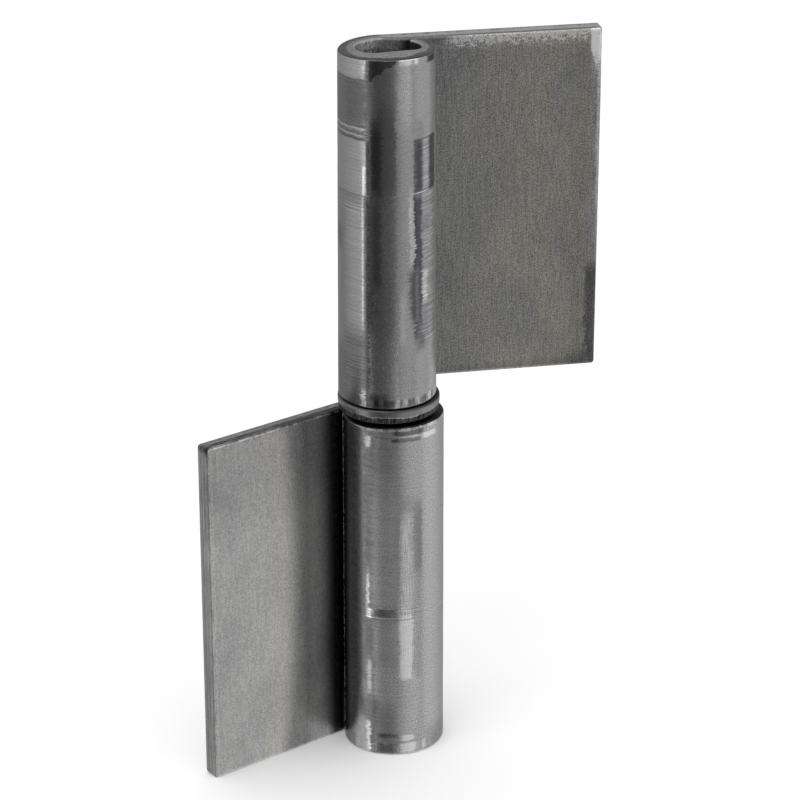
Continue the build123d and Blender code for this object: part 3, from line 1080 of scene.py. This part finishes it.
def washer_steel(name, finish):
    """Punched rim: a smooth cut band above a dark torn one, with painted shade along its top edge."""
    material, g = new_material(name)
    arc, height, inward = g.split(g.attribute("strip", "Vector"))
    torn = Num(g, g.attribute("torn"))
    streak = g.noise(g.vector(arc * 3.0, height * 0.5, inward), 1.2, 3.0, 0.6)
    speck = g.noise(g.vector(arc, height, inward), 3.0, 3.0, 0.7)
    cloud = g.noise(g.vector(arc * 0.25, height * 0.2, inward * 0.3), 1.0, 2.0, 0.5)
    cut = 0.36 + (streak - 0.5) * 0.3 + (cloud - 0.5) * 0.25 + (speck - 0.5) * 0.2
    # Painted shade along the top, where the upper barrel's foot sits on it
    cut = cut * (1.0 - g.step(height, 1.85, 2.1) * 0.75)
    broken = 0.09 + (streak - 0.5) * 0.75 + (speck - 0.5) * 0.25
    tone = toward(cut, broken, torn)
    ledge = torn * (1.0 - torn) * 4.0
    tone = (tone + ledge * (streak - 0.3).over(0.0) * 1.4).over(0.02)
    colour = g.blend(tone, tuple(finish.dark), tuple(finish.cold))
    rough = 0.38 + torn * 0.15 + (speck - 0.5) * 0.15
    relief = (speck - 0.5) * (0.01 + torn * 0.05) + (streak - 0.5) * (0.01 + torn * 0.04)
    metal(g, colour, rough, relief)
    return material


# ---------------------------------------------------------------- operators


class HINGE_OT_lower_leaf(bpy.types.Operator):
    """Roll the lower leaf"""

    bl_idname = "hinge.lower_leaf"
    bl_label = "Lower Leaf"

    def execute(self, context):
        settings = context.scene.hinge_lower_leaf
        steel = LowerLeafSteel("lower_rolled_steel", context.scene.hinge_finish, settings).paint()
        make_leaf("lower_leaf_rolled", "lower_leaf", "frame_side", settings, steel, seed=3.0)
        return {"FINISHED"}


class HINGE_OT_upper_leaf(bpy.types.Operator):
    """Roll the upper leaf"""

    bl_idname = "hinge.upper_leaf"
    bl_label = "Upper Leaf"

    def execute(self, context):
        settings = context.scene.hinge_upper_leaf
        steel = UpperLeafSteel("upper_rolled_steel", context.scene.hinge_finish, settings).paint()
        make_leaf("upper_leaf_rolled", "upper_leaf", "door_side", settings, steel, seed=11.0)
        return {"FINISHED"}


class HINGE_OT_pin(bpy.types.Operator):
    """Finish the pin"""

    bl_idname = "hinge.pin"
    bl_label = "Pin"

    def execute(self, context):
        steel = pin_steel("drawn_pin_steel", context.scene.hinge_finish)
        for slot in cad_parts["pin"].material_slots:
            slot.material = steel
        return {"FINISHED"}


class HINGE_OT_washer(bpy.types.Operator):
    """Punch the thrust washer"""

    bl_idname = "hinge.washer"
    bl_label = "Thrust Washer"

    def execute(self, context):
        scene = context.scene
        sizes = scene.hinge_washer
        values = {label: getattr(sizes, key) for key, (label, _, _) in WASHER_SIZES.items()}
        values["Rows Round"] = 481
        values["Tear Seed"] = 7.0
        values["Material"] = washer_steel("punched_washer_steel", scene.hinge_finish)
        washer = grown("washer_punched", punched_washer_tree(), values)
        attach(washer, "washer")
        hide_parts("washer")
        return {"FINISHED"}


CAMERA_SIDE = 232.1  # direction of the camera about the pin, in degrees from +X
CAMERA_PLACE = (-0.27875, -0.3608, 0.2565)
CAMERA_DOWN, CAMERA_TURN = 23.197, -37.92  # degrees below level, and about Z
WHITE = (1.0, 1.0, 1.0, 1.0)
PANEL_FOOT = -0.6
PANEL_COLUMN = 3.0  # degrees between the columns of a panel

# Studio panels: name, from and to in degrees to the right of the camera, brightness at each end,
# top and radius
STUDIO_PANELS = (
    ("left_sheet", -180.0, -60.5, 0.25, 0.85, 0.25, 0.45),
    ("left_strip", -59.5, -51.5, 1.4, 1.4, 0.25, 0.45),
    ("front_flag_left", -51.0, -28.0, 0.2, 0.06, 0.5, 0.45),
    ("front_flag_right", -28.0, 26.0, 0.06, 0.16, 0.5, 0.45),
    ("low_softbox", 14.0, 50.0, 0.50, 0.66, -0.13, 0.44),
    ("right_softbox", 27.0, 58.0, 0.36, 0.62, 0.25, 0.45),
    ("side_flag", 59.0, 72.0, 0.38, 0.38, 0.25, 0.45),
    ("right_strip", 73.0, 111.0, 0.78, 0.7, 0.25, 0.45),
    ("right_sheet", 112.0, 180.0, 0.55, 0.3, 0.25, 0.45),
)


def panel_cloth():
    """Lit cloth of the studio panels."""
    material, g = new_material("panel_cloth")
    surface(g, "ShaderNodeEmission", Color=WHITE, Strength=g.attribute("glow"))
    return material


def curtain(cloth, name, start, end, glow_start, glow_end, top, radius):
    """A curved studio panel round the hinge, seen only in its reflections."""
    steps = max(2, round((end - start) / PANEL_COLUMN))
    mesh = bmesh.new()
    glow = mesh.verts.layers.float.new("glow")
    columns = []
    for i in range(steps + 1):
        share = i / steps
        turn = math.radians(CAMERA_SIDE + start + (end - start) * share)
        column = []
        for z in (PANEL_FOOT, top):
            vertex = mesh.verts.new((radius * math.cos(turn), radius * math.sin(turn), z))
            vertex[glow] = glow_start + (glow_end - glow_start) * share
            column.append(vertex)
        columns.append(column)
    for first, second in zip(columns, columns[1:]):
        mesh.faces.new((first[0], first[1], second[1], second[0]))
    data = bpy.data.meshes.new(name)
    mesh.to_mesh(data)
    mesh.free()
    data.materials.append(cloth)
    panel = bpy.data.objects.new(name, data)
    bpy.context.scene.collection.objects.link(panel)
    panel.visible_camera = False
    panel.visible_diffuse = False
    panel.visible_shadow = False
    panel.visible_transmission = False


class HINGE_OT_stage(bpy.types.Operator):
    """Set up the camera, the floor and the light"""

    bl_idname = "hinge.stage"
    bl_label = "Stage"

    def execute(self, context):
        scene = context.scene
        settings = scene.hinge_stage
        camera_data = bpy.data.cameras.new("camera")
        camera_data.lens = settings.lens
        camera_data.sensor_width = 36.0
        camera_data.clip_start = 0.01
        camera_data.clip_end = 50.0
        camera = bpy.data.objects.new("camera", camera_data)
        camera.location = CAMERA_PLACE
        camera.rotation_euler = (math.radians(90.0 - CAMERA_DOWN), 0.0, math.radians(CAMERA_TURN))
        scene.collection.objects.link(camera)
        scene.camera = camera
        scene.view_settings.view_transform = "Standard"

        world = bpy.data.worlds.new("surround")
        world.use_nodes = True
        world.node_tree.nodes.clear()
        g = Graph(world.node_tree)
        glow = g.node("ShaderNodeBackground", Color=WHITE, Strength=settings.surround)
        out = g.node("ShaderNodeOutputWorld")
        g.feed(out.inputs["Surface"], glow.outputs[0])
        scene.world = world

        bpy.ops.mesh.primitive_plane_add(size=8.0, location=(0.0, 0.0, 0.0))
        floor = context.object
        floor.name = "floor"
        material, g = new_material("pale_floor")
        surface(g, Base_Color=(0.95, 0.95, 0.95, 1.0), Roughness=0.9)
        floor.data.materials.append(material)
        floor.visible_glossy = False

        cloth = panel_cloth()
        for panel in STUDIO_PANELS:
            curtain(cloth, *panel)

        key = bpy.data.lights.new("soft_key", "AREA")
        key.energy = 3.0
        key.size = 0.8
        lamp = bpy.data.objects.new("soft_key", key)
        lamp.location = (-0.6, -0.2, 1.0)
        lamp.rotation_euler = (Vector((0.0, 0.0, 0.06)) - lamp.location).to_track_quat("-Z", "Y").to_euler()
        scene.collection.objects.link(lamp)
        return {"FINISHED"}


class HINGE_PT_builder(bpy.types.Panel):
    """Lists the pieces of the hinge"""

    bl_label = "Barrel Hinge"
    bl_idname = "HINGE_PT_builder"
    bl_space_type = "VIEW_3D"
    bl_region_type = "UI"
    bl_category = "Hinge"

    def draw(self, context):
        for operator in OPERATORS:
            self.layout.operator(operator.bl_idname)


OPERATORS = (HINGE_OT_lower_leaf, HINGE_OT_upper_leaf, HINGE_OT_pin, HINGE_OT_washer, HINGE_OT_stage)
GROUPS = {
    "hinge_lower_leaf": HINGE_PG_lower_leaf,
    "hinge_upper_leaf": HINGE_PG_upper_leaf,
    "hinge_washer": HINGE_PG_washer,
    "hinge_finish": HINGE_PG_finish,
    "hinge_stage": HINGE_PG_stage,
}


def register():
    for group in GROUPS.values():
        bpy.utils.register_class(group)
    for name, group in GROUPS.items():
        setattr(bpy.types.Scene, name, bpy.props.PointerProperty(type=group))
    for operator in OPERATORS:
        bpy.utils.register_class(operator)
    bpy.utils.register_class(HINGE_PT_builder)


def unregister():
    bpy.utils.unregister_class(HINGE_PT_builder)
    for operator in reversed(OPERATORS):
        bpy.utils.unregister_class(operator)
    for name in GROUPS:
        delattr(bpy.types.Scene, name)
    for group in reversed(list(GROUPS.values())):
        bpy.utils.unregister_class(group)


def main():
    """Make every piece."""
    register()
    bpy.ops.hinge.lower_leaf()
    bpy.ops.hinge.upper_leaf()
    bpy.ops.hinge.pin()
    bpy.ops.hinge.washer()
    bpy.ops.hinge.stage()


if __name__ == "__main__":
    main()
